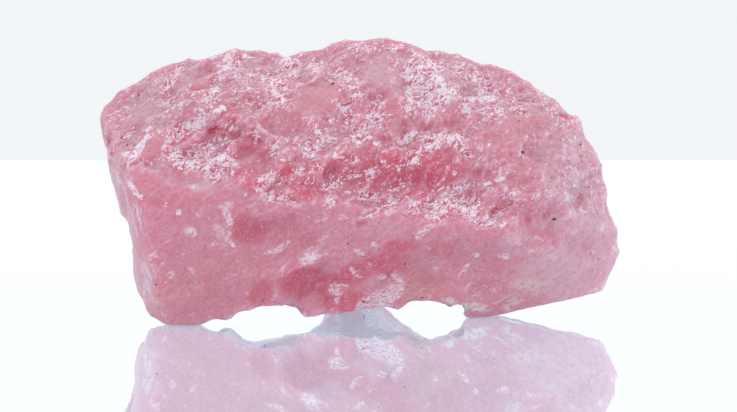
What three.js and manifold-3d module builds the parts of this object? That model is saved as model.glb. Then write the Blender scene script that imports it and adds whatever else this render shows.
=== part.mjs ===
// A rough piece of rose quartz, about 70 mm long, as it was broken out of its vein.
// Millimetres. +X runs along the stone, +Y goes from its front to its back, +Z is up.
// The stone is one solid: a block with flat breaks between its corners, out of which chips are struck.
// Its places are set out from a point on the ground near its front. Once it is made, it is moved so that
// the origin lies on the ground under the middle of its bounding box.
import * as THREE from "three";
import { ConvexGeometry } from "three/addons/geometries/ConvexGeometry.js";
import { MeshSurfaceSampler } from "three/addons/math/MeshSurfaceSampler.js";
import { mergeVertices } from "three/addons/utils/BufferGeometryUtils.js";
import Module from "manifold-3d";

const wasm = await Module();
wasm.setup();

// The corners of the unchipped block. The flat breaks are the faces of its hull.
const CORNERS = {
  crest: [
    [-34.6, 2, 28.6], [-26.5, 5, 33.2], [-21, 5.5, 35.2], [-17.6, 6, 35.8], [3.9, 7, 36.9],
    [5, 7, 36.8], [15.1, 8, 34.1], [20, 7, 32.6], [26, 5, 29.7],
  ],
  left_end: [[-35.1, 1, 26.1], [-32.4, 0, 14], [-29.3, -3, 3.6], [-28.9, -6, 1.7]],
  right_end: [
    [29.6, 4, 26.9], [32.6, 3, 20], [33.6, 2, 16.5], [35.2, 0, 8.6], [34.8, -1, 7],
    [32.5, -2, 3.2], [26.8, -3, 2.4],
  ],
  front_low: [
    [-26, -11.8, 3.8], [-14.2, -10.4, 1.2], [-3.8, -12.5, 9.4], [-1.2, -8.4, 0.8], [23.9, -5, 4],
  ],
  front_middle: [
    [-30.2, -11, 21.2], [-27.4, -13.5, 13.8], [-15.8, -13.5, 19.3], [7.8, -12, 14],
    [19.5, -10, 13.7], [26.3, -6.5, 16.2],
  ],
  front_high: [[-22.9, -5, 27.9], [-11.7, -4.5, 29.8], [5.4, -3, 29], [18.5, -3.5, 26.4]],
  ground: [
    [-25.8, -9, 0], [-23.9, -10, 0], [-23, -4, 0], [17.4, -3.7, 0], [17.2, 0, 0],
    [-4, 13, 0], [2, 12.8, 0],
  ],
  back_low: [[-27, 6, 6.5], [-17, 15.5, 11], [-3, 18.5, 9], [14, 17, 10.5], [25, 9, 7.5], [30, 9, 11]],
  back_high: [
    [-33.5, 6.5, 24], [-31.5, 9.5, 14], [-21.5, 15.5, 27], [-6, 19, 22], [11, 18, 24],
    [26.5, 12, 20.5], [-7, 13.5, 33.6], [13, 14, 30.5],
  ],
};

// Where a large chip was struck: the side it is seen from, and its place in that view.
const SIDES = {
  front: { blow: [0, 1, 0], across: [1, 0, 0], up: [0, 0, 1] },
  back: { blow: [0, -1, 0], across: [1, 0, 0], up: [0, 0, 1] },
  left: { blow: [1, 0, 0], across: [0, 1, 0], up: [0, 0, 1] },
  right: { blow: [-1, 0, 0], across: [0, 1, 0], up: [0, 0, 1] },
  top: { blow: [0, 0, -1], across: [1, 0, 0], up: [0, 1, 0] },
  under: { blow: [0, 0, 1], across: [1, 0, 0], up: [0, 1, 0] },
};

// Each large chip is [place across, place up, length, width, depth] in millimetres, then how far its
// length is turned from across, and how far its floor is tipped to face down, in degrees.
const LARGE_CHIPS = {
  under: [
    [-17.9, -1, 13.5, 34, 2.7, 0, 6], // between the front foot and the hollow
    [-11.6, 3, 19, 46, 6.3, 0, 8], // the hollow on the left, open from front to back
    [-12, -7, 10, 12, 3.7, 0, 0], // its high mouth
    [-3.5, -3, 27, 19, 3.6, 0, 6], // between the two hollows, in front of the back foot
    [8.9, 3, 16.5, 46, 5.4, 0, 8], // the hollow on the right, open from front to back
    [8, -6, 10, 12, 2.8, 0, 0], // its high mouth
    [-20, 3, 24, 14, 3, 50, 0],
    [15, 7, 18, 13, 3, 130, 0],
  ],
  top: [
    [-10, 4, 17, 11, 2.3, 0, 0], // the dip in the crest, from the front
    [-8, 9, 18, 12, 2.3, 0, 0], // and from behind
    [10.5, 7, 9, 10, 0.9, 0, 0],
    [-30, 4, 9, 7, 0.7, 40, 0],
    [22, 9, 12, 8, 0.9, 150, 0],
  ],
  left: [
    [-1, 8.6, 14, 10, 3, 90, 0],
    [-6, 15, 16, 7, 1, 75, 0],
    [6, 20, 12, 9, 1.3, 60, 0],
    [-3, 24, 9, 6, 0.8, 80, 0],
  ],
  right: [
    [2, 22.7, 7, 8, 0.7, 90, 0],
    [-3, 5, 5, 7, 0.5, 90, 0],
    [5, 13, 14, 10, 1.3, 70, 0],
  ],
  front: [
    [-22, 24.4, 17, 8, 2, 18, -25], // the long ledge under the upper plate
    [-13.5, 22.6, 11, 8, 1.8, -5, -15],
    [-22.5, 20.4, 14, 6, 1.5, -8, -35], // the bright ledge over the lower face
    [-10.6, 18.6, 8, 6, 1.4, 30, -20],
    [-30, 25.5, 9, 6, 0.9, 60, 0],
    [-27, 29, 11, 7, 0.8, 30, 10],
    [-9.4, 12.6, 17, 11, 1.5, 0, 12], // the hollow in the middle of the lower face
    [-6.2, 4.6, 15, 9, 1.9, 27, -20], // the step down from the left lobe
    [3.3, 4, 9, 6, 1, 30, 0],
    [8.4, 5.2, 11, 7, 1.2, 0, -15],
    [15.6, 4.6, 8, 6, 0.9, 0, 0],
    [13.5, 9.4, 19, 10, 1.1, 5, 8], // the smooth face on the lower right
    [1.4, 18.4, 18, 8, 1.4, 6, -25],
    [10.5, 17.6, 15, 6, 1.3, 18, -30],
    [18.5, 15.6, 9, 6, 1.2, 10, -20],
    [-2.5, 28.5, 14, 10, 1.4, 0, 12],
    [7.6, 31.5, 10, 7, 1.1, 80, 0],
    [17.2, 30, 11, 9, 1.2, 35, -15],
    [12.8, 25.5, 9, 7, 1.3, 60, -10],
    [-8, 25, 13, 8, 1.5, -10, -12],
    [4, 24, 13, 8, 1.3, 12, -20],
    [24.7, 15, 14, 9, 1, 60, 0],
    [24, 24, 12, 8, 1, 50, 0],
    [30, 10, 9, 8, 0.7, 0, 0],
  ],
  back: [
    [-22, 20, 18, 13, 2, 30, 0],
    [-8, 12, 22, 15, 2.2, -20, 0],
    [8, 25, 20, 11, 1.7, 10, -15],
    [17, 13, 19, 14, 2, 50, 0],
    [-12, 30, 16, 10, 1.6, -10, -15],
    [27, 17, 12, 10, 1.2, 90, 0],
    [2, 16, 12, 8, 1.3, 70, 0],
    [-26, 9, 15, 10, 1.5, 110, 0],
    [6, 5, 17, 9, 1.5, 0, 0],
    [-2, 24, 11, 8, 1.4, 40, 10],
  ],
};

// The small chips all over the stone: their number, the range of each size, and how they lie.
const SMALL_CHIPS = {
  count: 300,
  long: [2.8, 7],
  slimness: [0.5, 0.9], // width as a share of length
  depth: [0.1, 0.17], // depth as a share of length
  turn: [-5, 85], // degrees: the stone's grain runs up to the right
  tip: [-35, 25], // degrees
};

// The faces that broke smooth, where no small chip is struck: a place in the front view and a radius.
const SMOOTH_FACES = [
  { x: -22, z: 8, radius: 7.5 },
  { x: -24, z: 15.5, radius: 4.5 },
  { x: -10, z: 12, radius: 6 },
  { x: 12, z: 9, radius: 6.5 },
  { x: 25, z: 8, radius: 6.5 },
  { x: 1, z: 10, radius: 3.5 },
];

const FOOT_HEIGHT = 1.6; // no small chip is struck lower than this, so the stone keeps its resting spots
const SEED = 100;
const OUTSIDE = 100; // a large chip's blow starts this far out
const LIFT = 0.6; // how far a chip's middle stands above the break, as a share of its upright half
const CHIP_CORNERS = { each_mm: 1.5, fewest: 12, most: 34 };
const UNEVEN = { turn: 0.5, reach: 0.1 }; // how far a chip's corners stray, in radians and as a share
const GOLDEN_ANGLE = Math.PI * (3 - Math.sqrt(5));

const chance = () => THREE.MathUtils.seededRandom();
const between = ([low, high]) => THREE.MathUtils.lerp(low, high, chance());
const around = (spread) => between([-spread, spread]);

function solidOf(geometry) {
  geometry.deleteAttribute("normal");
  geometry.deleteAttribute("uv");
  const merged = mergeVertices(geometry, 1e-4);
  return new wasm.Manifold(
    new wasm.Mesh({
      numProp: 3,
      vertProperties: merged.attributes.position.array,
      triVerts: new Uint32Array(merged.index.array),
    }),
  );
}

function meshOf(solid, material) {
  const mesh = solid.getMesh();
  const geometry = new THREE.BufferGeometry();
  geometry.setAttribute("position", new THREE.BufferAttribute(mesh.vertProperties, 3));
  geometry.setIndex(new THREE.BufferAttribute(mesh.triVerts, 1));
  geometry.computeVertexNormals();
  return new THREE.Mesh(geometry, material);
}

function makeBlock() {
  const corners = Object.values(CORNERS).flat();
  return new THREE.Mesh(new ConvexGeometry(corners.map((corner) => new THREE.Vector3(...corner))));
}

// The corners of a chip, spread round a ball and a little uneven.
function chipCorners(count) {
  return Array.from({ length: count }, (_, index) => {
    const height = 1 - (2 * index + 1) / count;
    const round = Math.sqrt(1 - height ** 2);
    const angle = index * GOLDEN_ANGLE + around(UNEVEN.turn);
    const corner = new THREE.Vector3(round * Math.cos(angle), round * Math.sin(angle), height);
    return corner.multiplyScalar(1 + around(UNEVEN.reach));
  });
}

// What a blow takes out: a flattened lump with flat faces, sunk into the break to the chip's depth.
function chipOf(place, outward, across, [long, wide, deep, turn, tip]) {
  const { each_mm, fewest, most } = CHIP_CORNERS;
  const count = THREE.MathUtils.clamp(Math.round(long * each_mm), fewest, most);
  const lump = new ConvexGeometry(chipCorners(count));
  const spread = Math.sqrt(1 - LIFT ** 2);
  const upright = deep / (1 - LIFT);
  lump.scale(long / 2 / spread, wide / 2 / spread, upright);
  lump.rotateX(THREE.MathUtils.degToRad(tip));
  lump.rotateZ(THREE.MathUtils.degToRad(turn));
  const sideways = across.clone().projectOnPlane(outward).normalize();
  const upward = new THREE.Vector3().crossVectors(outward, sideways);
  lump.applyMatrix4(new THREE.Matrix4().makeBasis(sideways, upward, outward));
  const middle = place.clone().addScaledVector(outward, LIFT * upright);
  lump.translate(middle.x, middle.y, middle.z);
  return solidOf(lump);
}

function largeChips(block) {
  return Object.entries(LARGE_CHIPS).flatMap(([side, chips]) => {
    const [blow, across, up] = Object.values(SIDES[side]).map((way) => new THREE.Vector3(...way));
    return chips.map(([placeAcross, placeUp, ...form]) => {
      const from = blow.clone().multiplyScalar(-OUTSIDE);
      from.addScaledVector(across, placeAcross).addScaledVector(up, placeUp);
      const [hit] = new THREE.Raycaster(from, blow).intersectObject(block);
      return chipOf(hit.point, hit.face.normal, across, form);
    });
  });
}

function isKeptWhole(place, outward) {
  if (place.z < FOOT_HEIGHT) return true;
  const inFront = outward.y < 0;
  return inFront && SMOOTH_FACES.some(({ x, z, radius }) => Math.hypot(place.x - x, place.z - z) < radius);
}

function smallChips(stone) {
  const { count, long, slimness, depth, turn, tip } = SMALL_CHIPS;
  const sampler = new MeshSurfaceSampler(meshOf(stone)).setRandomGenerator(chance).build();
  const across = new THREE.Vector3(1, 0, 0.01);
  return Array.from({ length: count }, () => {
    const place = new THREE.Vector3();
    const outward = new THREE.Vector3();
    sampler.sample(place, outward);
    const length = between(long);
    const form = [length, length * between(slimness), length * between(depth), between(turn), between(tip)];
    return isKeptWhole(place, outward) ? null : chipOf(place, outward.normalize(), across, form);
  }).filter(Boolean);
}

function makeStone() {
  THREE.MathUtils.seededRandom(SEED);
  const block = makeBlock();
  const whole = solidOf(block.geometry.clone());
  const chipped = largeChips(block).reduce((stone, chip) => stone.subtract(chip), whole);
  return smallChips(chipped).reduce((stone, chip) => stone.subtract(chip), chipped);
}

function centreOverOrigin(mesh) {
  const middle = new THREE.Box3().setFromObject(mesh).getCenter(new THREE.Vector3());
  mesh.position.set(-middle.x, -middle.y, 0);
}

const quartz = new THREE.MeshStandardMaterial({ color: 0xd98a9c, roughness: 0.35, metalness: 0 });
const stone = meshOf(makeStone(), quartz);
stone.name = "rose_quartz";
centreOverOrigin(stone);

const part = new THREE.Group();
part.add(stone);
export default part;
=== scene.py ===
"""Dresses a rough piece of rose quartz: breaks it up finely, gives it its cloudy pink, and lights it.

Laid out as an add-on: settings, one operator each for the stone and the stage, and a sidebar panel.
Metres in the scene, millimetres in the numbers that shape the stone.
"""

import math
from typing import NamedTuple

import bpy
import numpy as np
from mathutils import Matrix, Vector


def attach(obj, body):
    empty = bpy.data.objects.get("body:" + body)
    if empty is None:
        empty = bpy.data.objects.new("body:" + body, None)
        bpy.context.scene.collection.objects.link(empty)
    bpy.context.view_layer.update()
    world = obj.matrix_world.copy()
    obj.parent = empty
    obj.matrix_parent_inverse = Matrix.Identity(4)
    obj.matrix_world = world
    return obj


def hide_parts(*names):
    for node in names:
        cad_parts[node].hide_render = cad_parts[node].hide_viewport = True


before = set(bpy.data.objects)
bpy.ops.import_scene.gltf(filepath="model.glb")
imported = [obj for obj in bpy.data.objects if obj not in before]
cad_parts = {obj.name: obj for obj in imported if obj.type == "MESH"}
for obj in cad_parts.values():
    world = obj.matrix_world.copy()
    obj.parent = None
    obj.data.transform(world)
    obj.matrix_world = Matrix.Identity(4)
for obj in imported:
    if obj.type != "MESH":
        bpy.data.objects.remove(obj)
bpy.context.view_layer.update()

bl_info = {
    "name": "Rose Quartz",
    "version": (1, 0, 0),
    "blender": (4, 5, 0),
    "location": "View3D > Sidebar > Rose Quartz",
    "description": "Breaks up, colours and lights a rough piece of rose quartz",
    "category": "Object",
}

NODE = "rose_quartz"
BODY = "root"
MM = 0.001

# The view that the marks on the front are placed in, as the camera stands.
VIEW_MIDDLE = np.array([1.15, -2.75, 14.58])
VIEW_DISTANCE = 275.0
VIEW_ELEVATION = math.radians(7.0)
VIEW_INTO = np.array([0.0, math.cos(VIEW_ELEVATION), -math.sin(VIEW_ELEVATION)])
VIEW_UP = np.array([0.0, math.sin(VIEW_ELEVATION), math.cos(VIEW_ELEVATION)])
VIEW_ACROSS = np.array([1.0, 0.0, 0.0])
VIEW_EYE = VIEW_MIDDLE - VIEW_DISTANCE * VIEW_INTO

GRAIN = np.array([0.72, 0.1, 0.68])  # the way that the small breaks run: up to the right
LAMP_WAY = np.array([0.0, -0.66, 0.75])  # a facet that faces this way mirrors the lamp to the front

SOFT_EDGE = 0.45  # how far in and out from a patch's rim it fades, as a share of its half size
CRISP_EDGE = 0.2
SHARD_EDGE = 0.25
STRAY_SIZE = 1.3  # millimetres: the size of the waves in the patches' edges
STRAY_REACH = 0.45  # millimetres: how far those waves go

PLACE_BLURS = 7  # how many times the fine mesh's places are averaged, which rounds off the solid's edges
NORMAL_BLURS = 6
FINE_BLURS = 2  # how many averages the small edges and creases stand out from
BROAD_BLURS = 10  # and the broad hollows
SHARP_ANGLE = math.radians(28.0)  # an edge sharper than this is shaded as an edge

FLAKE_SQUEEZE = 0.42  # the share that lengths along the grain shrink by, which makes flakes longer there
FLAKE_STRAY = 0.42  # how far a flake's middle strays in its cell, as a share of its size
FLAKE_HOLLOW = 0.9  # how hollow a steep flake's facet is
FLAT_BAND = 1.2  # millimetres over the ground in which the breaks fade out, so the resting spots stay flat
SWELL = 0.2  # millimetres: the height of the broad waves under the facets
SWELL_SIZE = 4.5

REFRACTION = 1.54  # of quartz
HAZE_TINT = (1.0, 0.7, 0.75)  # how far red, green and blue light wander, as shares of the haze depth
LAMP_TINT = (0.96, 0.97, 1.0)
SKY_TINT = (0.94, 0.96, 1.0, 1.0)
SENSOR_WIDTH = 36.0
NEAREST_SEEN = 10.0


class Patch(NamedTuple):
    """An oval on the front as the camera sees it, in millimetres from the middle of the view."""

    across: float
    up: float
    half_length: float
    half_width: float
    turn: float  # degrees from across
    strength: float


# Where the break glitters with crumbs and slivers, from the left end to the right: glints are painted there
# as highlights, and the facets lean toward the lamp.
GLITTER = (
    Patch(-22.4, 5.6, 5.0, 1.5, -15, 1.0),  # the bright ledge
    Patch(-24.6, 6.8, 2.6, 0.9, 20, 0.9),
    Patch(-22.6, 7.6, 2.0, 0.9, -10, 0.8),
    Patch(-19.0, 6.6, 1.4, 1.0, -30, 0.8),
    Patch(-24.0, 10.9, 3.8, 0.9, 33, 0.95),  # the streak that rises over the ledge
    Patch(-26.4, 9.4, 1.3, 0.7, 20, 0.7),
    Patch(-25.6, 10.8, 1.2, 0.6, 30, 0.7),
    Patch(-18.4, 11.2, 1.5, 0.7, 25, 0.8),
    Patch(-15.6, 9.4, 1.2, 0.8, -40, 0.7),
    Patch(-17.0, 9.6, 0.8, 1.2, 0, 0.55),
    Patch(-19.8, 8.9, 1.6, 0.5, 0, 0.45),
    Patch(-26.9, 16.4, 1.9, 0.6, 65, 0.55),  # fine streaks at the top left
    Patch(-27.0, 14.6, 1.7, 1.1, 70, 0.5),
    Patch(-25.7, 17.4, 1.6, 0.5, 65, 0.45),
    Patch(-26.6, 13.2, 2.0, 0.7, 15, 0.5),
    Patch(-33.0, 12.6, 2.0, 0.7, 25, 0.45),
    Patch(-32.4, 9.6, 1.6, 0.8, 35, 0.4),
    Patch(-21.4, 14.0, 1.8, 1.4, 40, 0.45),
    Patch(-18.4, 19.4, 1.8, 1.3, 35, 0.65),
    Patch(-20.2, 17.4, 1.7, 0.8, 30, 0.5),
    Patch(-15.4, 17.4, 2.6, 1.1, -5, 0.5),
    Patch(-12.2, 16.6, 2.0, 1.4, 50, 0.65),
    Patch(-10.5, 18.8, 1.7, 1.2, -60, 0.75),
    Patch(-12.0, 14.3, 2.2, 1.0, 50, 0.55),
    Patch(-14.2, 13.2, 1.0, 0.7, 60, 0.5),
    Patch(-12.7, 8.0, 1.6, 0.5, 80, 0.55),
    Patch(-14.3, 3.3, 1.5, 0.7, 55, 0.95),  # the patch that hangs under the deep hollow
    Patch(-12.6, 1.4, 1.7, 0.9, -30, 0.95),
    Patch(-10.8, 0.8, 1.3, 0.6, -15, 0.75),
    Patch(-12.0, 3.8, 1.3, 0.7, 10, 0.6),
    Patch(-7.3, 18.8, 1.6, 0.9, 10, 0.7),
    Patch(-3.4, 17.8, 1.4, 1.1, -30, 0.75),
    Patch(-1.8, 16.6, 1.0, 0.9, 0, 0.55),
    Patch(-1.6, 14.6, 1.4, 0.6, -70, 0.55),
    Patch(-2.9, 12.2, 1.9, 1.2, -75, 0.9),
    Patch(-1.2, 10.4, 1.2, 0.6, 0, 0.7),
    Patch(-5.2, 11.5, 0.8, 0.5, 20, 0.75),
    Patch(-7.3, 11.0, 1.8, 0.9, -35, 0.5),
    Patch(-7.0, 9.3, 1.4, 0.7, -45, 0.6),
    Patch(-8.0, 7.6, 1.5, 1.1, -40, 0.75),
    Patch(-9.9, 8.9, 0.8, 0.6, 0, 0.6),
    Patch(-4.8, 9.2, 0.8, 0.5, 0, 0.75),
    Patch(0.9, 12.0, 2.2, 1.5, 75, 0.6),
    Patch(-1.6, 8.9, 1.5, 0.7, 5, 0.65),
    Patch(3.6, 21.4, 1.4, 0.7, -20, 0.6),  # the peak
    Patch(-1.0, 21.3, 2.0, 0.5, 10, 0.5),
    Patch(3.4, 19.6, 1.6, 0.9, 60, 0.5),
    Patch(7.6, 16.2, 3.9, 2.6, -65, 1.0),  # the big bright plate
    Patch(5.2, 13.0, 1.5, 0.7, -65, 0.85),
    Patch(9.0, 18.4, 1.8, 1.0, -50, 0.8),
    Patch(10.6, 15.0, 1.5, 1.1, 0, 0.7),
    Patch(12.2, 18.2, 1.8, 0.7, -20, 0.6),
    Patch(14.6, 17.0, 1.8, 1.0, -30, 0.9),
    Patch(16.0, 15.2, 1.9, 1.2, -50, 0.9),
    Patch(13.2, 13.2, 1.6, 0.8, 50, 0.85),
    Patch(17.0, 12.9, 1.6, 0.9, -10, 0.75),
    Patch(16.4, 11.2, 1.0, 0.8, -30, 0.55),
    Patch(11.8, 9.3, 1.7, 0.9, 10, 0.8),
    Patch(12.8, 7.3, 1.9, 0.6, -48, 0.6),
    Patch(20.1, 13.3, 1.6, 1.2, -50, 0.65),
    Patch(18.4, 15.4, 1.2, 0.8, 0, 0.5),
    Patch(26.5, 10.3, 3.6, 1.4, -58, 0.5),  # the right shoulder
    Patch(24.0, 14.2, 2.0, 0.6, -40, 0.45),
    Patch(-2.6, 6.5, 1.8, 0.6, 5, 0.85),  # level streaks across the middle
    Patch(-0.8, 4.9, 2.4, 0.6, 18, 0.9),
    Patch(1.2, 4.5, 1.4, 0.5, 20, 0.8),
    Patch(5.0, 6.0, 2.6, 0.6, 22, 0.75),
    Patch(6.1, 7.0, 0.8, 0.6, 0, 0.75),
    Patch(8.4, 8.3, 2.2, 0.8, 22, 0.8),
    Patch(5.8, 9.2, 1.9, 0.7, 15, 0.95),
    Patch(3.2, 3.0, 2.2, 1.0, 20, 0.45),
    Patch(-5.0, 3.2, 1.6, 1.0, 20, 0.5),
    Patch(-0.2, 1.3, 1.5, 0.4, 5, 0.8),
    Patch(3.3, 0.9, 1.8, 0.6, 5, 0.8),
    Patch(-5.0, 0.3, 1.0, 0.6, 40, 0.65),
    Patch(-8.2, 4.0, 2.4, 0.9, 10, 0.4),
    Patch(12.2, 2.6, 2.8, 0.4, 14, 0.85),
    Patch(11.0, 0.6, 3.4, 1.1, 16, 0.7),
    Patch(14.1, 0.5, 1.0, 1.4, 0, 0.85),
    Patch(13.6, -1.0, 1.6, 0.8, -20, 0.8),
    Patch(16.6, -1.2, 2.3, 0.8, 28, 0.9),
    Patch(15.4, -2.3, 1.7, 0.5, 0, 0.95),
    Patch(18.8, 0.9, 1.5, 0.8, 35, 0.7),
    Patch(20.5, 0.9, 0.7, 0.8, 0, 0.6),
    Patch(17.0, 4.8, 1.6, 1.0, 30, 0.4),
    Patch(7.0, 0.1, 2.0, 0.8, 20, 0.7),
    Patch(5.6, -0.8, 1.4, 0.5, 25, 0.8),
    Patch(9.5, -1.1, 1.8, 0.4, 5, 0.65),
    Patch(0.6, -0.8, 1.5, 0.4, 8, 0.65),
    Patch(-0.9, -1.7, 1.3, 0.8, 25, 0.7),
    Patch(-3.6, -1.6, 0.7, 0.6, 0, 0.55),
    Patch(-5.8, -1.4, 1.5, 0.5, 10, 0.5),
    Patch(26.6, 4.8, 2.6, 1.4, 30, 0.4),  # the grainy right end
    Patch(26.8, 2.8, 1.9, 1.0, 30, 0.5),
    Patch(29.9, 4.0, 1.8, 1.0, 80, 0.4),
    Patch(23.4, 1.3, 1.6, 0.7, 20, 0.4),
    Patch(22.0, 9.2, 1.6, 1.0, 50, 0.3),
)

# Single facets painted whole as glints: painted highlights where a facet mirrors the lamp.
SHARDS = (
    Patch(-31.2, 7.3, 2.1, 0.50, 57, 1.0),
    Patch(-29.2, 10.2, 0.55, 0.50, 50, 1.0),
    Patch(-32.7, 6.7, 0.55, 0.30, 60, 0.8),
    Patch(-29.9, 9.0, 0.60, 0.25, 10, 0.8),
    Patch(-20.0, 12.5, 0.90, 0.32, 18, 1.0),
    Patch(-16.7, 15.3, 1.35, 0.28, 5, 1.0),
    Patch(-15.8, 19.9, 0.75, 0.28, 0, 0.9),
    Patch(-15.2, 9.6, 0.80, 0.35, -48, 0.9),
    Patch(-27.4, 7.9, 0.45, 0.32, 0, 0.8),
    Patch(-10.8, 19.6, 0.95, 0.50, -60, 0.8),
    Patch(-9.6, 18.5, 0.95, 0.42, 80, 0.8),
    Patch(-11.0, 16.2, 0.45, 0.40, 0, 0.8),
    Patch(-13.9, 4.1, 0.75, 0.35, 35, 0.9),
    Patch(-4.4, 14.4, 0.55, 0.24, 0, 0.9),
    Patch(-5.1, 11.6, 0.50, 0.35, 10, 0.8),
    Patch(-5.0, 9.3, 0.55, 0.25, 0, 0.8),
    Patch(-2.4, 16.2, 0.35, 0.28, 0, 0.9),
    Patch(1.6, 16.1, 0.32, 0.28, 0, 0.8),
    Patch(1.0, 8.4, 0.50, 0.24, 0, 0.9),
    Patch(-4.8, 6.5, 0.50, 0.26, 80, 0.9),
    Patch(5.0, 8.8, 0.60, 0.30, 10, 1.0),
    Patch(6.3, 9.4, 0.80, 0.26, 20, 1.0),
    Patch(5.6, 15.0, 1.6, 0.70, 80, 0.7),
    Patch(9.2, 16.9, 1.2, 0.60, -50, 0.7),
    Patch(3.9, 4.8, 0.32, 0.30, 0, 0.9),
    Patch(11.3, 4.3, 0.42, 0.34, 30, 1.0),
    Patch(15.3, 14.9, 1.3, 0.65, 70, 0.6),
    Patch(12.8, 13.2, 1.1, 0.45, 50, 0.6),
    Patch(11.6, 9.3, 1.2, 0.55, 15, 0.6),
    Patch(16.7, 3.0, 1.55, 0.34, 18, 0.95),
    Patch(18.9, 1.4, 0.80, 0.30, 40, 0.8),
    Patch(20.3, 7.3, 0.34, 0.42, 0, 1.0),
    Patch(21.1, 9.2, 0.26, 0.40, 0, 0.8),
    Patch(16.1, 8.1, 0.24, 0.35, 0, 0.7),
    Patch(-2.8, 1.9, 0.60, 0.26, 20, 0.9),
    Patch(-16.5, 1.6, 0.26, 0.34, 40, 0.8),
    Patch(-19.0, -2.4, 0.40, 0.34, 0, 1.0),
    Patch(-18.6, -5.3, 0.65, 0.28, -35, 0.9),
    Patch(-25.7, -1.1, 0.50, 0.38, 10, 0.9),
    Patch(-31.6, 2.9, 1.30, 0.24, -58, 0.8),
    Patch(-30.8, 1.2, 0.60, 0.30, -45, 0.9),
    Patch(18.3, -2.3, 0.65, 0.28, 0, 0.9),
)

# Where the stone is deep pink, because the light comes through most of it.
DEEP = (
    Patch(-15.8, 5.2, 3.4, 2.3, 80, 1.0),  # the deep hollow
    Patch(-19.6, 13.4, 2.0, 1.6, -40, 0.8),
    Patch(-22.4, 14.9, 2.2, 1.0, 10, 0.6),
    Patch(-15.4, 14.6, 2.4, 1.0, 0, 0.8),
    Patch(-20.0, 10.0, 2.4, 0.7, -10, 0.8),
    Patch(-24.6, 9.4, 2.8, 0.5, 28, 0.8),
    Patch(-29.6, 5.9, 2.8, 0.4, 8, 0.7),
    Patch(-9.2, 5.4, 4.0, 1.2, 0, 0.8),
    Patch(-8.6, 2.2, 3.0, 1.6, 0, 0.8),
    Patch(-2.5, 14.0, 1.0, 0.8, 0, 0.6),
    Patch(4.0, 4.6, 9.0, 4.4, 5, 0.9),
    Patch(8.6, 4.6, 4.0, 2.2, 0, 0.8),
    Patch(2.4, 8.0, 4.0, 1.6, 0, 0.6),
    Patch(3.4, 13.4, 1.0, 2.2, 0, 0.5),
    Patch(10.8, 13.4, 1.4, 0.9, 20, 0.6),
    Patch(-16.4, -3.0, 3.0, 2.4, 0, 0.75),  # the concave face
    Patch(-11.0, -3.6, 5.0, 2.0, -8, 0.35),
    Patch(-8.2, -10.2, 3.6, 2.2, -5, 0.9),
    Patch(-3.0, -9.6, 3.4, 1.6, 20, 0.8),
    Patch(-3.4, -12.8, 3.4, 1.4, 0, 0.7),
    Patch(2.6, -7.6, 3.4, 1.6, -5, 0.8),
    Patch(4.0, -5.8, 3.0, 1.0, 10, 0.7),
    Patch(-25.6, 0.6, 5.0, 0.9, -2, 0.35),
    Patch(-14.4, -11.6, 1.8, 2.6, -30, 0.5),
    Patch(9.6, -5.6, 3.0, 1.2, 0, 0.45),
    Patch(17.4, -0.2, 1.4, 0.9, 0, 0.5),
)

# Where it leans to salmon.
SALMON = (
    Patch(-7.0, 14.6, 3.2, 1.9, 20, 0.8),
    Patch(-7.2, 12.9, 2.0, 0.8, 0, 1.0),
    Patch(3.4, 10.3, 1.8, 0.6, 0, 0.7),
    Patch(-22.6, 17.2, 1.8, 1.4, 50, 0.6),
    Patch(11.2, 17.6, 1.6, 0.9, 0, 0.5),
    Patch(-1.5, 7.8, 4.0, 0.6, 0, 0.5),
    Patch(21.0, 11.0, 3.0, 2.2, 0, 0.3),
    Patch(-27.0, -12.4, 2.4, 2.0, 0, 0.5),
    Patch(-9.4, -11.8, 2.0, 1.2, 0, 0.5),
    Patch(7.4, -11.0, 3.2, 1.8, 0, 0.9),
    Patch(23.0, -9.6, 4.0, 1.8, 0, 0.4),
)

# Where it is pale and clouded: partly the stone's own clouding, partly painted light where thin edges let
# the light from behind through.
PALE = (
    Patch(31.0, 3.0, 15.0, 8.0, -75, 0.75),
    Patch(27.6, -8.6, 9.0, 4.2, 8, 0.75),
    Patch(23.6, 13.8, 7.0, 2.2, -38, 0.6),
    Patch(-29.4, 13.6, 5.6, 3.4, 35, 0.7),
    Patch(-25.4, 17.0, 5.0, 1.6, 30, 0.6),
    Patch(-17.6, 18.6, 4.2, 2.0, 0, 0.6),
    Patch(1.6, 18.4, 3.6, 2.6, 0, 0.65),
    Patch(-34.2, -1.0, 15.0, 2.0, -72, 0.7),  # the left flank
    Patch(-30.2, -11.0, 4.5, 1.8, -80, 0.6),
    Patch(-22.4, 2.8, 2.2, 1.0, 5, 0.7),
    Patch(-13.6, 16.2, 3.0, 1.8, 0, 0.35),
    Patch(12.5, 16.6, 8.0, 3.0, -18, 0.55),
    Patch(7.4, 16.0, 3.6, 2.6, -70, 0.7),
    Patch(2.0, -3.0, 4.0, 1.4, 0, 0.35),
    Patch(20.0, -5.0, 3.0, 2.0, -20, 0.5),
)

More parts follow.
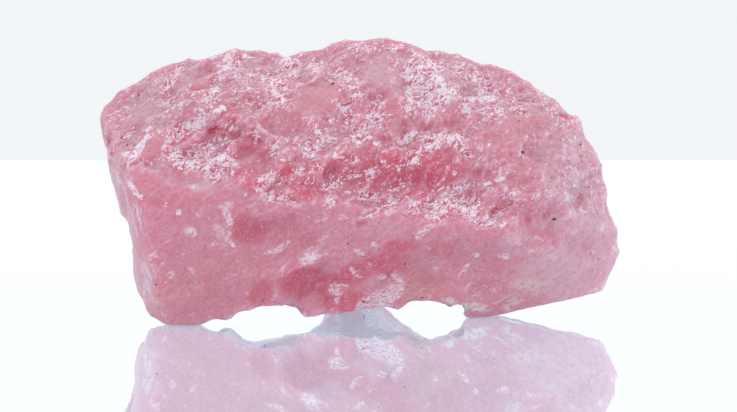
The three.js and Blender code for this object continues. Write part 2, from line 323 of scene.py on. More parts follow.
# Veils and bruises inside it, which show as crisp pale sheets.
VEILS = (
    Patch(1.6, -12.6, 3.9, 1.3, 32, 0.85),
    Patch(-4.2, -10.9, 1.2, 1.0, 25, 0.75),
    Patch(-4.1, -12.3, 0.35, 0.8, 0, 0.6),
    Patch(-8.0, -6.6, 1.7, 0.9, 40, 0.7),
    Patch(-6.2, -4.6, 1.4, 0.6, 60, 0.45),
    Patch(-12.4, -5.6, 1.7, 0.45, 25, 0.7),
    Patch(-19.1, -1.6, 1.5, 0.50, -72, 0.7),  # the crack on the lower left
    Patch(-19.7, -3.6, 1.7, 0.9, -58, 0.45),
    Patch(-20.4, -5.1, 0.85, 0.30, -30, 0.7),
    Patch(-19.3, 0.0, 1.0, 0.45, 0, 0.55),
    Patch(-23.9, -3.4, 0.95, 0.70, 0, 0.8),
    Patch(-22.8, -0.8, 1.0, 0.45, 0, 0.4),
    Patch(-28.2, -6.3, 0.28, 0.42, 0, 0.7),
    Patch(-27.4, -7.8, 0.34, 0.36, 0, 0.8),
    Patch(-26.7, -9.4, 0.60, 0.60, 0, 0.7),
    Patch(-23.7, -8.7, 0.75, 0.34, -40, 0.8),
    Patch(-25.0, -6.6, 0.26, 0.26, 0, 0.6),
    Patch(-18.2, -9.4, 0.32, 0.28, 0, 0.6),
    Patch(-14.0, -9.2, 0.32, 0.50, 0, 0.5),
    Patch(-14.3, -2.6, 0.32, 0.42, 0, 0.5),
    Patch(7.3, -3.4, 1.8, 0.45, 42, 0.85),
    Patch(9.2, -2.5, 0.7, 0.45, 20, 0.5),
    Patch(-1.3, -6.2, 1.0, 0.32, -25, 0.75),
    Patch(0.7, -4.9, 0.60, 0.36, -45, 0.7),
    Patch(0.2, -7.8, 0.60, 0.26, -40, 0.6),
    Patch(-1.9, -9.2, 1.3, 0.36, -45, 0.65),
    Patch(1.8, -9.5, 0.70, 0.40, 25, 0.8),
    Patch(4.2, -9.7, 1.4, 0.40, -35, 0.75),
    Patch(13.0, -8.2, 1.4, 0.32, 48, 0.85),
    Patch(14.7, -6.9, 0.75, 0.32, -20, 0.8),
    Patch(18.1, -6.7, 1.0, 0.50, 0, 0.7),
    Patch(7.9, -5.6, 0.55, 0.32, 0, 0.5),
    Patch(8.9, -8.3, 0.90, 0.26, -65, 0.5),
    Patch(16.2, -10.9, 1.3, 0.26, -50, 0.6),
    Patch(13.4, -10.5, 1.3, 0.26, 55, 0.5),
    Patch(14.4, -11.9, 1.6, 0.9, 0, 0.3),
    Patch(18.5, -12.3, 1.9, 0.26, 15, 0.45),
    Patch(22.8, -4.5, 1.0, 0.34, -20, 0.5),
    Patch(22.1, -5.8, 0.50, 0.28, -35, 0.6),
    Patch(24.6, -7.2, 0.55, 0.32, 0, 0.5),
    Patch(27.3, -3.6, 1.1, 0.26, 35, 0.5),
    Patch(28.6, -1.0, 0.55, 0.26, -65, 0.5),
    Patch(27.4, 1.0, 0.9, 0.7, 10, 0.8),
    Patch(31.4, -3.2, 0.80, 0.45, 25, 0.85),
    Patch(33.0, -5.8, 0.50, 0.42, 0, 0.6),
    Patch(29.5, -6.5, 0.45, 0.28, 0, 0.5),
    Patch(19.4, -4.2, 1.8, 0.8, -40, 0.4),
    Patch(-33.3, 3.0, 2.4, 0.28, -65, 0.6),  # streaks along the left flank
    Patch(-32.4, 1.0, 2.2, 0.26, -62, 0.6),
    Patch(-31.0, -1.8, 2.0, 0.32, -78, 0.6),
    Patch(-34.6, 7.0, 2.4, 0.30, -72, 0.6),
    Patch(-29.7, -8.7, 1.4, 0.34, -62, 0.7),
    Patch(-29.9, -11.6, 1.8, 0.40, 88, 0.5),
    Patch(-27.4, -14.8, 1.0, 0.26, -50, 0.5),
)

# Where a clear cream crust shows on the lower edge.
CREAM = (
    Patch(14.3, -13.5, 2.0, 0.65, 0, 0.9),
    Patch(10.8, -12.9, 1.0, 0.55, -20, 0.7),
    Patch(19.4, -13.0, 1.3, 0.60, 20, 0.6),
    Patch(21.5, -10.4, 2.4, 0.9, 0, 0.35),
)

# Dark grains and rusty ones.
SPECKS = (
    Patch(-25.5, 10.1, 0.24, 0.20, 45, 1.0),
    Patch(-13.2, 17.7, 0.22, 0.18, 0, 1.0),
    Patch(-4.8, 16.5, 0.26, 0.18, -40, 1.0),
    Patch(-30.9, 15.0, 0.20, 0.16, 30, 0.9),
    Patch(-33.3, 9.4, 0.22, 0.18, 0, 0.9),
    Patch(-32.5, 8.3, 0.22, 0.14, 50, 0.9),
    Patch(14.8, 12.2, 0.18, 0.18, 0, 0.9),
    Patch(20.3, 11.5, 0.16, 0.16, 0, 0.8),
    Patch(20.7, 7.2, 0.34, 0.26, 0, 1.0),
    Patch(28.5, 8.2, 0.16, 0.16, 0, 0.8),
    Patch(24.9, -1.7, 0.30, 0.26, 0, 1.0),
    Patch(29.7, 2.5, 0.16, 0.16, 0, 0.8),
    Patch(9.5, -8.6, 0.18, 0.18, 0, 0.9),
    Patch(23.5, -11.8, 0.16, 0.16, 0, 0.8),
    Patch(4.8, -7.8, 0.20, 0.16, 0, 0.9),
    Patch(1.3, -5.8, 0.20, 0.18, 0, 0.9),
    Patch(-2.7, -5.0, 0.18, 0.16, 0, 0.8),
    Patch(1.5, -2.4, 0.18, 0.18, 0, 0.8),
    Patch(-14.1, -12.7, 0.18, 0.16, 0, 0.8),
    Patch(-0.6, -12.9, 0.24, 0.18, -30, 1.0),
    Patch(7.3, -12.3, 0.20, 0.16, -30, 0.9),
    Patch(-28.5, -10.6, 0.18, 0.18, 0, 0.8),
    Patch(-23.0, -4.2, 0.26, 0.14, 0, 0.7),
    Patch(-20.9, -0.9, 0.16, 0.14, 0, 0.7),
)

# Where rust has crept into fine cracks.
RUST = (
    Patch(-20.5, -10.6, 7.5, 4.0, 0, 0.8),
    Patch(7.4, -11.0, 3.4, 2.4, 0, 1.0),
    Patch(-3.0, -13.5, 4.0, 1.2, 0, 0.6),
    Patch(3.0, -6.0, 8.0, 3.0, 0, 0.35),
)

# Where the smooth lower faces end, as across and up: a line that falls to the right and then runs level.
SMOOTH_LINE = ((-32.0, 5.2), (-17.9, 3.2), (-5.2, 0.1), (6.9, -2.1), (19.0, -2.6), (33.0, -1.5))

# Smooth places above that line.
SMOOTH_SPOTS = (
    Patch(-15.6, 5.2, 3.0, 2.0, 80, 1.0),
    Patch(-7.0, 14.0, 3.0, 1.9, 20, 0.9),
    Patch(2.0, 18.2, 2.6, 2.2, 0, 0.8),
    Patch(-22.8, 17.2, 1.4, 1.4, 0, 0.7),
    Patch(-30.4, 12.4, 2.6, 1.2, 30, 0.6),
    Patch(-29.0, 7.8, 1.6, 1.0, 40, 0.9),
    Patch(3.6, 14.4, 0.9, 2.4, 0, 0.8),
    Patch(-11.6, 11.4, 1.8, 1.4, 0, 0.8),
    Patch(19.4, 10.4, 3.4, 2.2, 20, 0.7),
    Patch(10.8, 13.6, 1.4, 0.8, 20, 0.8),
    Patch(24.0, 6.4, 5.0, 3.4, 40, 0.4),
)


class StoneBreak(bpy.types.PropertyGroup):
    """How finely the stone's surface is broken."""

    grid: bpy.props.FloatProperty(
        name="Grid", description="Spacing of the fine mesh", default=0.335 * MM, unit="LENGTH", precision=5
    )
    ledge: bpy.props.FloatProperty(
        name="Ledges", description="Size of the largest added facets", default=3.1 * MM, unit="LENGTH",
        precision=5,
    )
    hackle: bpy.props.FloatProperty(
        name="Hackle", description="Size of the middle facets", default=1.5 * MM, unit="LENGTH", precision=5
    )
    chip: bpy.props.FloatProperty(
        name="Chips", description="Size of the smallest raised facets", default=0.8 * MM, unit="LENGTH",
        precision=5,
    )
    glitter: bpy.props.FloatProperty(
        name="Glitter", description="Size of the facets in the finish", default=0.5 * MM, unit="LENGTH",
        precision=5,
    )


class StoneColours(bpy.types.PropertyGroup):
    """The colours of the rose quartz, in linear light, with those of its painted glints and painted shade.
    """

    pink: bpy.props.FloatVectorProperty(
        name="Pink", description="The body of the stone", default=(0.75, 0.31, 0.40), subtype="COLOR"
    )
    # Also the colour of the painted shade in creases, on ripples that face away from the lamp, and in broad
    # hollows.
    deep: bpy.props.FloatVectorProperty(
        name="Deep", description="Where the stone is thick and clear", default=(0.69, 0.12, 0.20),
        subtype="COLOR",
    )
    # Also painted light where thin edges let the light from behind through.
    pale: bpy.props.FloatVectorProperty(
        name="Pale", description="Where it is clouded", default=(0.77, 0.50, 0.59), subtype="COLOR"
    )
    # Painted shade: the greyer pink that darkens the faces that look up, which the lamp overhead lights
    # most.
    top_shade_pink: bpy.props.FloatVectorProperty(
        name="Dusk", description="The greyer pink on top", default=(0.54, 0.27, 0.34), subtype="COLOR"
    )
    # Also the colour of painted highlights: the glints on facets that face the lamp and on small raised
    # edges.
    frost_and_glint: bpy.props.FloatVectorProperty(
        name="Frost", description="Crushed facets and veils", default=(0.97, 0.84, 0.93), subtype="COLOR"
    )
    salmon: bpy.props.FloatVectorProperty(
        name="Salmon", description="Where it leans to orange", default=(0.74, 0.36, 0.36), subtype="COLOR"
    )
    cream: bpy.props.FloatVectorProperty(
        name="Cream", description="A clear crust on the lower edge", default=(0.84, 0.74, 0.66),
        subtype="COLOR",
    )
    rust: bpy.props.FloatVectorProperty(
        name="Rust", description="Stain in fine cracks", default=(0.55, 0.16, 0.07), subtype="COLOR"
    )
    speck: bpy.props.FloatVectorProperty(
        name="Specks", description="Dark grains", default=(0.22, 0.03, 0.01), subtype="COLOR"
    )
    haze: bpy.props.FloatProperty(
        name="Haze depth", description="How far light wanders in the stone", default=4.0 * MM, unit="LENGTH",
        precision=5,
    )


class StoneStage(bpy.types.PropertyGroup):
    """The studio round the stone."""

    lens: bpy.props.FloatProperty(
        name="Lens", description="Focal length in millimetres", default=100.0, unit="CAMERA"
    )
    lamp: bpy.props.FloatProperty(
        name="Lamp", description="Power of the soft lamp overhead", default=0.14, unit="POWER"
    )
    fill: bpy.props.FloatProperty(name="Fill", description="Strength of the light all round", default=0.92)
    floor: bpy.props.FloatVectorProperty(
        name="Floor", description="Glow of the pale floor", default=(0.215, 0.32, 0.385), subtype="COLOR"
    )
    mirror: bpy.props.FloatVectorProperty(
        name="Mirror", description="How much the floor mirrors", default=(0.76, 0.71, 0.68), subtype="COLOR"
    )
    wall: bpy.props.FloatVectorProperty(
        name="Wall", description="Glow of the backdrop", default=(0.88, 0.90, 0.92), subtype="COLOR"
    )


def unit(vector):
    return vector / np.linalg.norm(vector)


def smooth_step(low, high, values):
    share = np.clip((values - low) / (high - low), 0.0, 1.0)
    return share * share * (3.0 - 2.0 * share)


def scrambled(cells, salt):
    """Three numbers from -1 to 1 for each whole-numbered cell, the same for the same cell and salt."""
    primes = np.array([73856093, 19349663, 83492791], np.uint64)
    mixed = (cells.astype(np.int64).astype(np.uint64) * primes).sum(-1) + np.uint64(salt * 7919 + 1)
    numbers = []
    for _ in range(3):
        mixed = mixed * np.uint64(6364136223846793005) + np.uint64(1442695040888963407)
        numbers.append((mixed >> np.uint64(40)).astype(float) / float(1 << 24) * 2.0 - 1.0)
    return np.stack(numbers, -1)


def cloud(points, size, salt):
    """Smooth noise from -1 to 1, with lumps about `size` millimetres across."""
    grid = points / size
    base = np.floor(grid)
    share = grid - base
    share = share * share * (3.0 - 2.0 * share)
    total = np.zeros(len(points))
    for corner in np.ndindex(2, 2, 2):
        offset = np.array(corner)
        weight = np.prod(np.where(offset, share, 1.0 - share), axis=-1)
        total += weight * scrambled(base + offset, salt)[:, 0]
    return total


def flakes(points, size, salt, steepness, lean):
    """Height, in millimetres, of a surface that shallow flakes have broken off, one beside another.

    Each flake leaves a tilted, slightly hollow facet, and facets meet in sharp ridges: the surface is the
    lowest of them at each point. They are about `size` across and longer along the grain.
    """
    grain = unit(GRAIN)
    squeezed = (points - FLAKE_SQUEEZE * (points @ grain)[:, None] * grain) / size
    base = np.floor(squeezed)
    lowest = np.full(len(points), np.inf)
    for neighbour in np.ndindex(3, 3, 3):
        cell = base + np.array(neighbour) - 1
        away = squeezed - (cell + 0.5 + FLAKE_STRAY * scrambled(cell, salt))
        numbers = scrambled(cell, salt + 50)
        tilt = numbers * steepness[:, None] + lean
        hollow = FLAKE_HOLLOW * (away**2).sum(-1) * (steepness + 0.02)
        lowest = np.minimum(lowest, (away * tilt).sum(-1) + hollow)
    return lowest * size


def as_seen(points):
    """Across and up, in millimetres, where the camera sees the points, scaled to the view's middle."""
    from_eye = points - VIEW_EYE
    scale = VIEW_DISTANCE / (from_eye @ VIEW_INTO)
    return np.stack([from_eye @ VIEW_ACROSS, from_eye @ VIEW_UP], -1) * scale[:, None]


def patch_mask(seen, patches, softness=SOFT_EDGE):
    """The strongest patch over each place, with soft edges."""
    mask = np.zeros(len(seen))
    for patch in patches:
        turn = math.radians(patch.turn)
        away = seen - np.array([patch.across, patch.up])
        along = away @ np.array([math.cos(turn), math.sin(turn)])
        over = away @ np.array([-math.sin(turn), math.cos(turn)])
        reach = np.hypot(along / patch.half_length, over / patch.half_width)
        mask = np.maximum(mask, patch.strength * (1.0 - smooth_step(1.0 - softness, 1.0 + softness, reach)))
    return mask


def point_normals(mesh):
    """Which way the surface faces at each of a mesh's points."""
    normals = np.zeros(len(mesh.vertices) * 3)
    mesh.vertices.foreach_get("normal", normals)
    return normals.reshape(-1, 3)


class FineStone:
    """The stone's fine mesh as arrays: where each point is, which way it faces, and where it is seen."""

    def __init__(self, mesh):
        count = len(mesh.vertices)
        places = np.zeros(count * 3)
        mesh.vertices.foreach_get("co", places)
        edges = np.zeros(len(mesh.edges) * 2, np.int32)
        mesh.edges.foreach_get("vertices", edges)
        self.edges = edges.reshape(-1, 2)
        self.points = self.blurred(places.reshape(-1, 3) / MM, PLACE_BLURS)
        self.normals = self.blurred(point_normals(mesh), NORMAL_BLURS)
        self.normals /= np.linalg.norm(self.normals, axis=1)[:, None]
        self.in_front = smooth_step(0.0, 0.3, -self.normals @ VIEW_INTO)
        self.exactly_seen = as_seen(self.points)
        waves = np.stack([cloud(self.points, STRAY_SIZE, salt) for salt in (1, 2, 3)], -1)
        self.seen = as_seen(self.points + STRAY_REACH * waves)

    def blurred(self, values, times):
        """Each point's values averaged with its neighbours', a number of times over."""
        first, second = self.edges.T
        count = len(values)
        shares = 1.0 + np.bincount(first, minlength=count) + np.bincount(second, minlength=count)
        for _ in range(times):
            total = values.copy()
            for column in range(values.shape[1]):
                total[:, column] += np.bincount(first, values[second, column], count)
                total[:, column] += np.bincount(second, values[first, column], count)
            values = total / shares[:, None]
        return values

    def bulges(self, places, times):
        """How far each place stands out from those round it, as a multiple of what is usual here."""
        out = ((places - self.blurred(places, times)) * self.normals).sum(-1)
        return out / np.std(out)

    def marked(self, patches, elsewhere, softness=SOFT_EDGE):
        """The patches in front, and the given values on the sides that the camera doesn't see."""
        shown = self.in_front * patch_mask(self.seen, patches, softness)
        return shown + (1.0 - self.in_front) * elsewhere


def rough_share(stone):
    """How broken the surface is, from 0 on the smooth faces to 1."""
    across, up = stone.seen.T
    line_across, line_up = zip(*SMOOTH_LINE)
    above = smooth_step(-0.6, 1.0, up - np.interp(across, line_across, line_up))
    smooth_spots = patch_mask(stone.seen, SMOOTH_SPOTS)
    front = np.maximum(above * (1.0 - smooth_spots) * 0.7, patch_mask(stone.seen, GLITTER))
    behind = 0.45 + 0.45 * cloud(stone.points, 9.0, 11)
    return np.clip(stone.in_front * front + (1.0 - stone.in_front) * behind, 0.05, 1.0)


# How much the break glitters: the facets lean toward the lamp there, and glints are painted there as
# highlights.
def glitter_share(stone):
    behind = np.clip(cloud(stone.points, 6.0, 21) * 1.3 - 0.1, 0.0, 1.0)
    return stone.marked(GLITTER, behind)


def give_shares(stone, mesh, moved, rough, glitter):
    """Keeps everything that varies over the stone on its mesh, where the material reads it."""
    thickness = cloud(stone.points, 8.0, 31)
    flecks = cloud(stone.points, 2.6, 41)
    blotches = cloud(stone.points, 9.0, 51)
    to_lamp = smooth_step(0.55, 0.98, point_normals(mesh) @ unit(LAMP_WAY))
    fine = stone.bulges(moved, FINE_BLURS)
    broad = stone.bulges(moved, BROAD_BLURS)
    shares = {
        "rough": rough,
        # where glints are painted: more on the facets that face the lamp
        "glitter": glitter * (0.7 + 0.4 * to_lamp) + 0.35 * to_lamp * rough,
        # whole facets painted as glints
        "shard": stone.marked(SHARDS, smooth_step(0.62, 0.72, flecks) * rough, SHARD_EDGE),
        # deep pink: the patches and a random thickness, with painted shade in the broad hollows
        "deep": stone.marked(DEEP, 0.5 + 0.6 * thickness) + 0.25 * smooth_step(0.3, 2.0, -broad),
        # painted shade on the faces that look up
        "painted_top_shade": smooth_step(0.35, 0.95, stone.normals[:, 2]),
        "salmon": stone.marked(SALMON, smooth_step(0.3, 0.8, -blotches)),
        # pale: clouded places, and painted light through thin edges
        "pale": stone.marked(PALE, 0.3 - 0.8 * thickness),
        "veil": stone.marked(VEILS, smooth_step(0.5, 0.6, flecks), CRISP_EDGE),
        "cream": stone.marked(CREAM, np.zeros(len(rough))),
        "speck": patch_mask(stone.exactly_seen, SPECKS) * stone.in_front,
        "rust": stone.marked(RUST, smooth_step(0.3, 0.8, blotches)),
        # painted highlight on small raised edges
        "edge_highlight": smooth_step(0.5, 2.2, fine),
        # painted shade in small creases
        "crease_shade": smooth_step(0.4, 2.0, -fine),
    }
    for name, values in shares.items():
        share = mesh.attributes.new(name, "FLOAT", "POINT")
        share.data.foreach_set("value", np.clip(values, 0.0, 1.0).astype(np.float32))


def break_up(stone, sizes, rough, glitter):
    """Moves the fine mesh's points to make the facets, and keeps the stone on its resting spots."""
    lean = -0.55 * glitter[:, None] * unit(LAMP_WAY)
    none = np.zeros_like(lean)
    height = flakes(stone.points, sizes.ledge / MM, 101, 0.1 + 0.16 * rough, none)
    height += flakes(stone.points, sizes.hackle / MM, 202, 0.03 + 0.24 * rough, 0.4 * lean)
    height += flakes(stone.points, sizes.chip / MM, 303, 0.01 + 0.26 * rough, 0.6 * lean)
    height += SWELL * cloud(stone.points, SWELL_SIZE, 404)
    off_ground = smooth_step(0.0, FLAT_BAND, stone.points[:, 2])
    moved = stone.points + (height * off_ground)[:, None] * stone.normals
    moved[:, 2] = np.maximum(moved[:, 2], 0.0)
    return moved


def make_fine_mesh(node, grid):
    """A copy of the stone's solid, remade with small even faces."""
    piece = bpy.data.objects.new("stone", node.data.copy())
    bpy.context.scene.collection.objects.link(piece)
    remesh = piece.modifiers.new("fine", "REMESH")
    remesh.mode = "VOXEL"
    remesh.voxel_size = grid
    bpy.context.view_layer.update()
    fine = bpy.data.meshes.new_from_object(piece.evaluated_get(bpy.context.evaluated_depsgraph_get()))
    piece.modifiers.clear()
    piece.data = fine
    return piece


class Field:
    """A number that varies over a surface. Sums on it add Math nodes."""

    def __init__(self, surface, socket):
        self.surface = surface
        self.socket = socket

    def __add__(self, other):
        return self.surface.maths("ADD", self, other)

    def __sub__(self, other):
        return self.surface.maths("SUBTRACT", self, other)

    def __rsub__(self, other):
        return self.surface.maths("SUBTRACT", other, self)

    def __mul__(self, other):
        return self.surface.maths("MULTIPLY", self, other)

    def at_most(self, other):
        return self.surface.maths("MINIMUM", self, other)

    def at_least(self, other):
        return self.surface.maths("MAXIMUM", self, other)

    def rise(self, low, high):
        """0 below low, 1 above high, and a smooth rise between them."""
        settings = {"interpolation_type": "SMOOTHSTEP"}
        inputs = {"Value": self, "From Min": low, "From Max": high}
        return self.surface.field("ShaderNodeMapRange", settings, inputs, "Result")

    __radd__ = __add__
    __rmul__ = __mul__


class Surface:
    """A material under construction."""

    def __init__(self, name):
        self.material = bpy.data.materials.new(name)
        self.material.use_nodes = True
        self.tree = self.material.node_tree
        self.tree.nodes.clear()

    def node(self, kind, settings=None, inputs=None):
        """Adds a node: its settings first, then the values or links of its sockets."""
        made = self.tree.nodes.new(kind)
        for setting, value in (settings or {}).items():
            setattr(made, setting, value)
        for name, value in (inputs or {}).items():
            socket = made.inputs[name]
            if isinstance(value, Field):
                value = value.socket
            if isinstance(value, bpy.types.NodeSocket):
                self.tree.links.new(value, socket)
            else:
                socket.default_value = value
        return made

    def field(self, kind, settings, inputs, output=0):
        return Field(self, self.node(kind, settings, inputs).outputs[output])

    def maths(self, operation, first, second):
        return self.field("ShaderNodeMath", {"operation": operation}, {0: first, 1: second})

    def vectors(self, operation, inputs, output="Vector"):
        return self.node("ShaderNodeVectorMath", {"operation": operation}, inputs).outputs[output]

    def blend(self, share, first, second):
        """The first colour where the share is 0, the second where it is 1."""
        settings = {"data_type": "RGBA"}
        return self.node("ShaderNodeMix", settings, {0: share, 6: first, 7: second}).outputs[2]

    def share(self, name):
        """A share that the mesh keeps for each point."""
        return self.field("ShaderNodeAttribute", {"attribute_name": name}, {}, "Fac")

    def places(self):
        """Where the surface is, in millimetres."""
        coordinates = self.node("ShaderNodeTexCoord").outputs["Object"]
        return self.vectors("SCALE", {0: coordinates, "Scale": 1.0 / MM})

    def noise(self, places, size, detail=3.0, roughness=0.55):
        inputs = {"Vector": places, "Scale": 1.0 / size, "Detail": detail, "Roughness": roughness}
        return self.field("ShaderNodeTexNoise", {}, inputs, "Fac")

    def finish(self, shader):
        self.node("ShaderNodeOutputMaterial", {}, {"Surface": shader})
        return self.material


def colour(setting):
    return (*setting, 1.0)


def stretched_along_grain(surface, places, share):
    """The places squeezed along the grain, so that what is drawn on them comes out longer along it."""
    grain = tuple(unit(GRAIN))
    along = surface.vectors("DOT_PRODUCT", {0: places, 1: grain}, "Value")
    shift = surface.vectors("SCALE", {0: grain, "Scale": Field(surface, along) * -share})
    return surface.vectors("ADD", {0: places, 1: shift})


def swirled(surface, places, size, amount):
    """The places pushed about smoothly, so that what is drawn on them bends."""
    push = surface.node("ShaderNodeTexNoise", {}, {"Vector": places, "Scale": 1.0 / size, "Detail": 2.0})
    centred = surface.vectors("SUBTRACT", {0: push.outputs["Color"], 1: (0.5, 0.5, 0.5)})
    return surface.vectors("ADD", {0: places, 1: surface.vectors("SCALE", {0: centred, "Scale": amount})})


class Shards:
    """Small tilted facets drawn on the surface: their heights feed the bump, and those that face the lamp
    are painted as glints.
    """

    def __init__(self, surface, places, size):
        inputs = {"Vector": places, "Scale": 1.0 / size}
        cells = surface.node("ShaderNodeTexVoronoi", {"feature": "F1"}, inputs)
        tilt = surface.vectors("MULTIPLY_ADD", {0: cells.outputs["Color"], 1: (2, 2, 2), 2: (-1, -1, -1)})
        away = surface.vectors("SUBTRACT", {0: places, 1: cells.outputs["Position"]})
        toward = tuple(-unit(LAMP_WAY))
        self.height = Field(surface, surface.vectors("DOT_PRODUCT", {0: away, 1: tilt}, "Value"))
        self.facing = Field(surface, surface.vectors("DOT_PRODUCT", {0: tilt, 1: toward}, "Value"))
        self.gap = surface.field("ShaderNodeTexVoronoi", {"feature": "DISTANCE_TO_EDGE"}, inputs, "Distance")

    def lit(self, share, slope):
        """1 on what catches the lamp: facets that face it, where the finer slope on them does too. It marks
        where the painted highlights go.
        """
        caught = (self.facing * 0.5 + slope * 6.0 + share * 1.3 - 1.25).rise(0.0, 0.3)
        return caught * self.gap.rise(0.0, 0.1)


def ripple_slope(surface, places, size):
    """How steeply fine ripples face the lamp."""
    shift = tuple(0.3 * size * unit(LAMP_WAY))
    ahead = surface.noise(surface.vectors("ADD", {0: places, 1: shift}), size, 2.0, 0.6)
    return surface.noise(places, size, 2.0, 0.6) - ahead


def body_colour(surface, colours, places, clouds, grains, streaks):
    """The cloudy pink, from deep to pale, with salmon and cream places, rust in its cracks, and painted
    shade on the faces that look up.
    """
    deep = (surface.share("deep") + (clouds - 0.5) * 0.8 + (grains - 0.5) * 0.5).rise(0.1, 0.95)
    # pale: clouding, and partly painted light through thin edges
    pale = (surface.share("pale") + (clouds - 0.5) * 0.6 + (grains - 0.5) * 0.5).rise(0.1, 0.95)
    body = surface.blend(deep, colour(colours.pink), colour(colours.deep))
    body = surface.blend(pale, body, colour(colours.pale))
    body = surface.blend(surface.share("salmon") * 0.6, body, colour(colours.salmon))
    # painted shade: the faces that look up turn greyer
    body = surface.blend(surface.share("painted_top_shade") * 0.7, body, colour(colours.top_shade_pink))

    dust = surface.noise(places, 0.22, 2.0, 0.7)
    warmth = surface.noise(surface.vectors("ADD", {0: places, 1: (31.0, 17.0, 5.0)}), 0.35, 3.0, 0.7)
    mottled = (grains - 0.5) * 0.9 + (streaks - 0.5) * 0.9 + (dust - 0.5) * 1.1
    body = surface.blend(mottled.rise(0.0, 0.3) * 0.55, body, colour(colours.pale))
    body = surface.blend((0.0 - mottled).rise(0.0, 0.3) * 0.5, body, colour(colours.deep))
    body = surface.blend(warmth.rise(0.56, 0.72) * 0.4, body, colour(colours.salmon))

    cracks = surface.noise(stretched_along_grain(surface, places, -0.6), 1.1, 5.0, 0.6)
    thin = 1.0 - surface.maths("ABSOLUTE", cracks - 0.5, 0.0).rise(0.0, 0.018)
    rust = surface.share("rust")
    body = surface.blend(rust * thin * grains.rise(0.4, 0.6), body, colour(colours.rust))
    body = surface.blend(rust * clouds.rise(0.35, 0.8) * 0.16, body, colour(colours.rust))
    cream = surface.share("cream") * (streaks + grains).rise(0.8, 1.1)
    return surface.blend(cream, body, colour(colours.cream))


def quartz_material(colours, sizes):
    surface = Surface("quartz")
    places = surface.places()
    glitter = surface.share("glitter")
    rough = surface.share("rough")

    bent = swirled(surface, places, 3.0, 2.4)
    grained = stretched_along_grain(surface, swirled(surface, bent, 0.35, 0.25), 0.5)
    crumbs = Shards(surface, grained, sizes.glitter / MM)
    slivers = Shards(surface, stretched_along_grain(surface, bent, 0.72), 0.8 * sizes.glitter / MM)
    slope = ripple_slope(surface, grained, 0.34)

    streaks = surface.noise(stretched_along_grain(surface, bent, 0.85), 0.4, 4.0, 0.65)
    clouds = surface.noise(places, 4.0, 4.0, 0.6)
    grains = surface.noise(bent, 0.55, 3.0, 0.6)
    body = body_colour(surface, colours, bent, clouds, grains, streaks)

    # Painted shade: darker pink in small creases and on the fine ripples that face away from the lamp.
    crease_shade = surface.share("crease_shade") * 0.5 + glitter.rise(0.3, 1.0) * (0.0 - slope).rise(0.0, 0.06) * 0.6
    body = surface.blend(crease_shade.at_most(0.8), body, colour(colours.deep))
    # Painted highlight: frost on small raised edges.
    edge_highlight = surface.share("edge_highlight") * (grains + streaks).rise(0.85, 1.2)
    body = surface.blend(edge_highlight * 0.5, body, colour(colours.frost_and_glint))
    veil = surface.share("veil").rise(0.05, 0.8) * (streaks + grains + slope * 4.0).rise(0.7, 1.25)
    body = surface.blend(veil * 0.75, body, colour(colours.frost_and_glint))
    # Painted highlights: glints in the frost colour on the crumbs and slivers that face the lamp, and on
    # whole shards.
    share = glitter + rough * (clouds - 0.36) * 1.1
    shard_glints = surface.share("shard").rise(0.3, 0.6) * (slope * 3.0 + grains).rise(0.2, 0.5)
    painted_glints = (crumbs.lit(share, slope) + slivers.lit(share - 0.1, slope) + shard_glints).at_most(1.0)
    body = surface.blend(painted_glints * (0.6 + grains * 0.6), body, colour(colours.frost_and_glint))
    body = surface.blend(surface.share("speck").rise(0.35, 0.65), body, colour(colours.speck))

    relief = (crumbs.height + slivers.height * 0.6) * (rough * 0.35 + 0.03)
    relief = relief + (streaks - 0.5) * 0.08 + (grains - 0.5) * 0.08
    bump = surface.node("ShaderNodeBump", {}, {"Height": relief, "Distance": MM, "Strength": 1.0})

    dull = 0.40 - rough * 0.2 - painted_glints * 0.2 + (grains - 0.5) * 0.2
    shader = surface.node("ShaderNodeBsdfPrincipled", {"subsurface_method": "RANDOM_WALK"}, {
        "Base Color": body,
        "Roughness": dull.at_least(0.1),
        "IOR": REFRACTION,
        "Normal": bump.outputs["Normal"],
        "Subsurface Weight": 1.0,
        "Subsurface Radius": HAZE_TINT,
        "Subsurface Scale": colours.haze,
    })
    return surface.finish(shader.outputs["BSDF"])


class QUARTZ_OT_stone(bpy.types.Operator):
    """Make the finely broken stone in place of its plain solid"""

    bl_idname = "quartz.stone"
    bl_label = "Make Stone"

    def execute(self, context):
        sizes = context.scene.quartz_break
        piece = make_fine_mesh(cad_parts[NODE], sizes.grid)
        mesh = piece.data
        stone = FineStone(mesh)
        rough = rough_share(stone)
        glitter = glitter_share(stone)
        moved = break_up(stone, sizes, rough, glitter)
        mesh.vertices.foreach_set("co", (moved * MM).ravel())
        mesh.update()
        give_shares(stone, mesh, moved, rough, glitter)
        mesh.polygons.foreach_set("use_smooth", np.ones(len(mesh.polygons), bool))
        mesh.set_sharp_from_angle(angle=SHARP_ANGLE)
        mesh.materials.clear()
        mesh.materials.append(quartz_material(context.scene.quartz_colours, sizes))
        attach(piece, BODY)
        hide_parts(NODE)
        return {"FINISHED"}


def glowing_material(name, base, glow, roughness, metallic):
    """A plain finish that is lit from within, as a light table is."""
    surface = Surface(name)
    inputs = {
        "Base Color": colour(base), "Roughness": roughness, "Metallic": metallic,
        "Emission Color": colour(glow), "Emission Strength": 1.0,
    }
    shader = surface.node("ShaderNodeBsdfPrincipled", {}, inputs)
    return surface.finish(shader.outputs["BSDF"])


def flat_sheet(name, corners, material):
    """A four-cornered sheet of the stage."""
    mesh = bpy.data.meshes.new(name)
    mesh.from_pydata([tuple(np.array(corner) * MM) for corner in corners], [], [(0, 1, 2, 3)])
    sheet = bpy.data.objects.new(name, mesh)
    bpy.context.scene.collection.objects.link(sheet)
    mesh.materials.append(material)


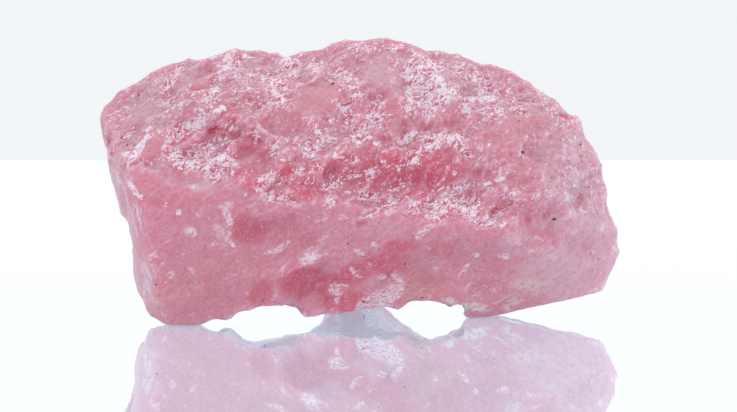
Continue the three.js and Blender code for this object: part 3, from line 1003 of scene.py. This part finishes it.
def aimed(thing, place, target):
    """Stands a camera or lamp at a place and turns it to look at the target, both in millimetres."""
    thing.location = Vector(place) * MM
    thing.rotation_euler = (Vector(target) - Vector(place)).to_track_quat("-Z", "Y").to_euler()


def soft_lamp(name, place, size, power):
    light = bpy.data.lights.new(name, "AREA")
    light.shape = "RECTANGLE"
    light.size = size[0] * MM
    light.size_y = size[1] * MM
    light.energy = power
    light.color = LAMP_TINT
    lamp = bpy.data.objects.new(name, light)
    bpy.context.scene.collection.objects.link(lamp)
    aimed(lamp, place, VIEW_MIDDLE)


class QUARTZ_OT_stage(bpy.types.Operator):
    """Set up the floor, the backdrop, the lights and the camera"""

    bl_idname = "quartz.stage"
    bl_label = "Set Stage"

    def execute(self, context):
        settings = context.scene.quartz_stage
        self.set_floor(settings)
        self.set_lights(context, settings)
        self.set_camera(context, settings)
        return {"FINISHED"}

    def set_floor(self, settings):
        half, near, far, below = 900.0, -700.0, 204.0, -0.02
        mirror = glowing_material("floor", settings.mirror, settings.floor, roughness=0.02, metallic=1.0)
        corners = [(-half, near, below), (half, near, below), (half, far, below), (-half, far, below)]
        flat_sheet("floor", corners, mirror)
        wall, low, high = 420.0, -400.0, 900.0
        black = (0.0, 0.0, 0.0)
        lit_wall = glowing_material("backdrop", black, settings.wall, roughness=1.0, metallic=0.0)
        corners = [(-half, wall, low), (half, wall, low), (half, wall, high), (-half, wall, high)]
        flat_sheet("backdrop", corners, lit_wall)

    def set_lights(self, context, settings):
        world = bpy.data.worlds.new("studio")
        context.scene.world = world
        world.use_nodes = True
        sky = world.node_tree.nodes["Background"]
        sky.inputs["Color"].default_value = SKY_TINT
        sky.inputs["Strength"].default_value = settings.fill
        soft_lamp("overhead", (0, 10, 330), (120, 70), settings.lamp)
        soft_lamp("behind", (60, 330, 240), (500, 260), settings.lamp)

    def set_camera(self, context, settings):
        lens = bpy.data.cameras.new("camera")
        lens.lens = settings.lens
        lens.sensor_width = SENSOR_WIDTH
        lens.clip_start = NEAREST_SEEN * MM
        camera = bpy.data.objects.new("camera", lens)
        context.scene.collection.objects.link(camera)
        aimed(camera, VIEW_EYE, VIEW_MIDDLE)
        context.scene.camera = camera
        context.scene.view_settings.view_transform = "Standard"


class QUARTZ_PT_sidebar(bpy.types.Panel):
    """Lists what makes the rose quartz"""

    bl_idname = "QUARTZ_PT_sidebar"
    bl_label = "Rose Quartz"
    bl_space_type = "VIEW_3D"
    bl_region_type = "UI"
    bl_category = "Rose Quartz"

    def draw(self, context):
        for pointer, (kind, operator) in SETTINGS.items():
            box = self.layout.box()
            settings = getattr(context.scene, pointer)
            for name in kind.__annotations__:
                box.prop(settings, name)
            if operator:
                box.operator(operator)


SETTINGS = {
    "quartz_break": (StoneBreak, "quartz.stone"),
    "quartz_colours": (StoneColours, None),
    "quartz_stage": (StoneStage, "quartz.stage"),
}
CLASSES = (StoneBreak, StoneColours, StoneStage, QUARTZ_OT_stone, QUARTZ_OT_stage, QUARTZ_PT_sidebar)


def register():
    for kind in CLASSES:
        bpy.utils.register_class(kind)
    for pointer, (kind, _) in SETTINGS.items():
        setattr(bpy.types.Scene, pointer, bpy.props.PointerProperty(type=kind))


def unregister():
    for pointer in SETTINGS:
        delattr(bpy.types.Scene, pointer)
    for kind in reversed(CLASSES):
        bpy.utils.unregister_class(kind)


def main():
    register()
    bpy.ops.quartz.stone()
    bpy.ops.quartz.stage()


if __name__ == "__main__":
    main()
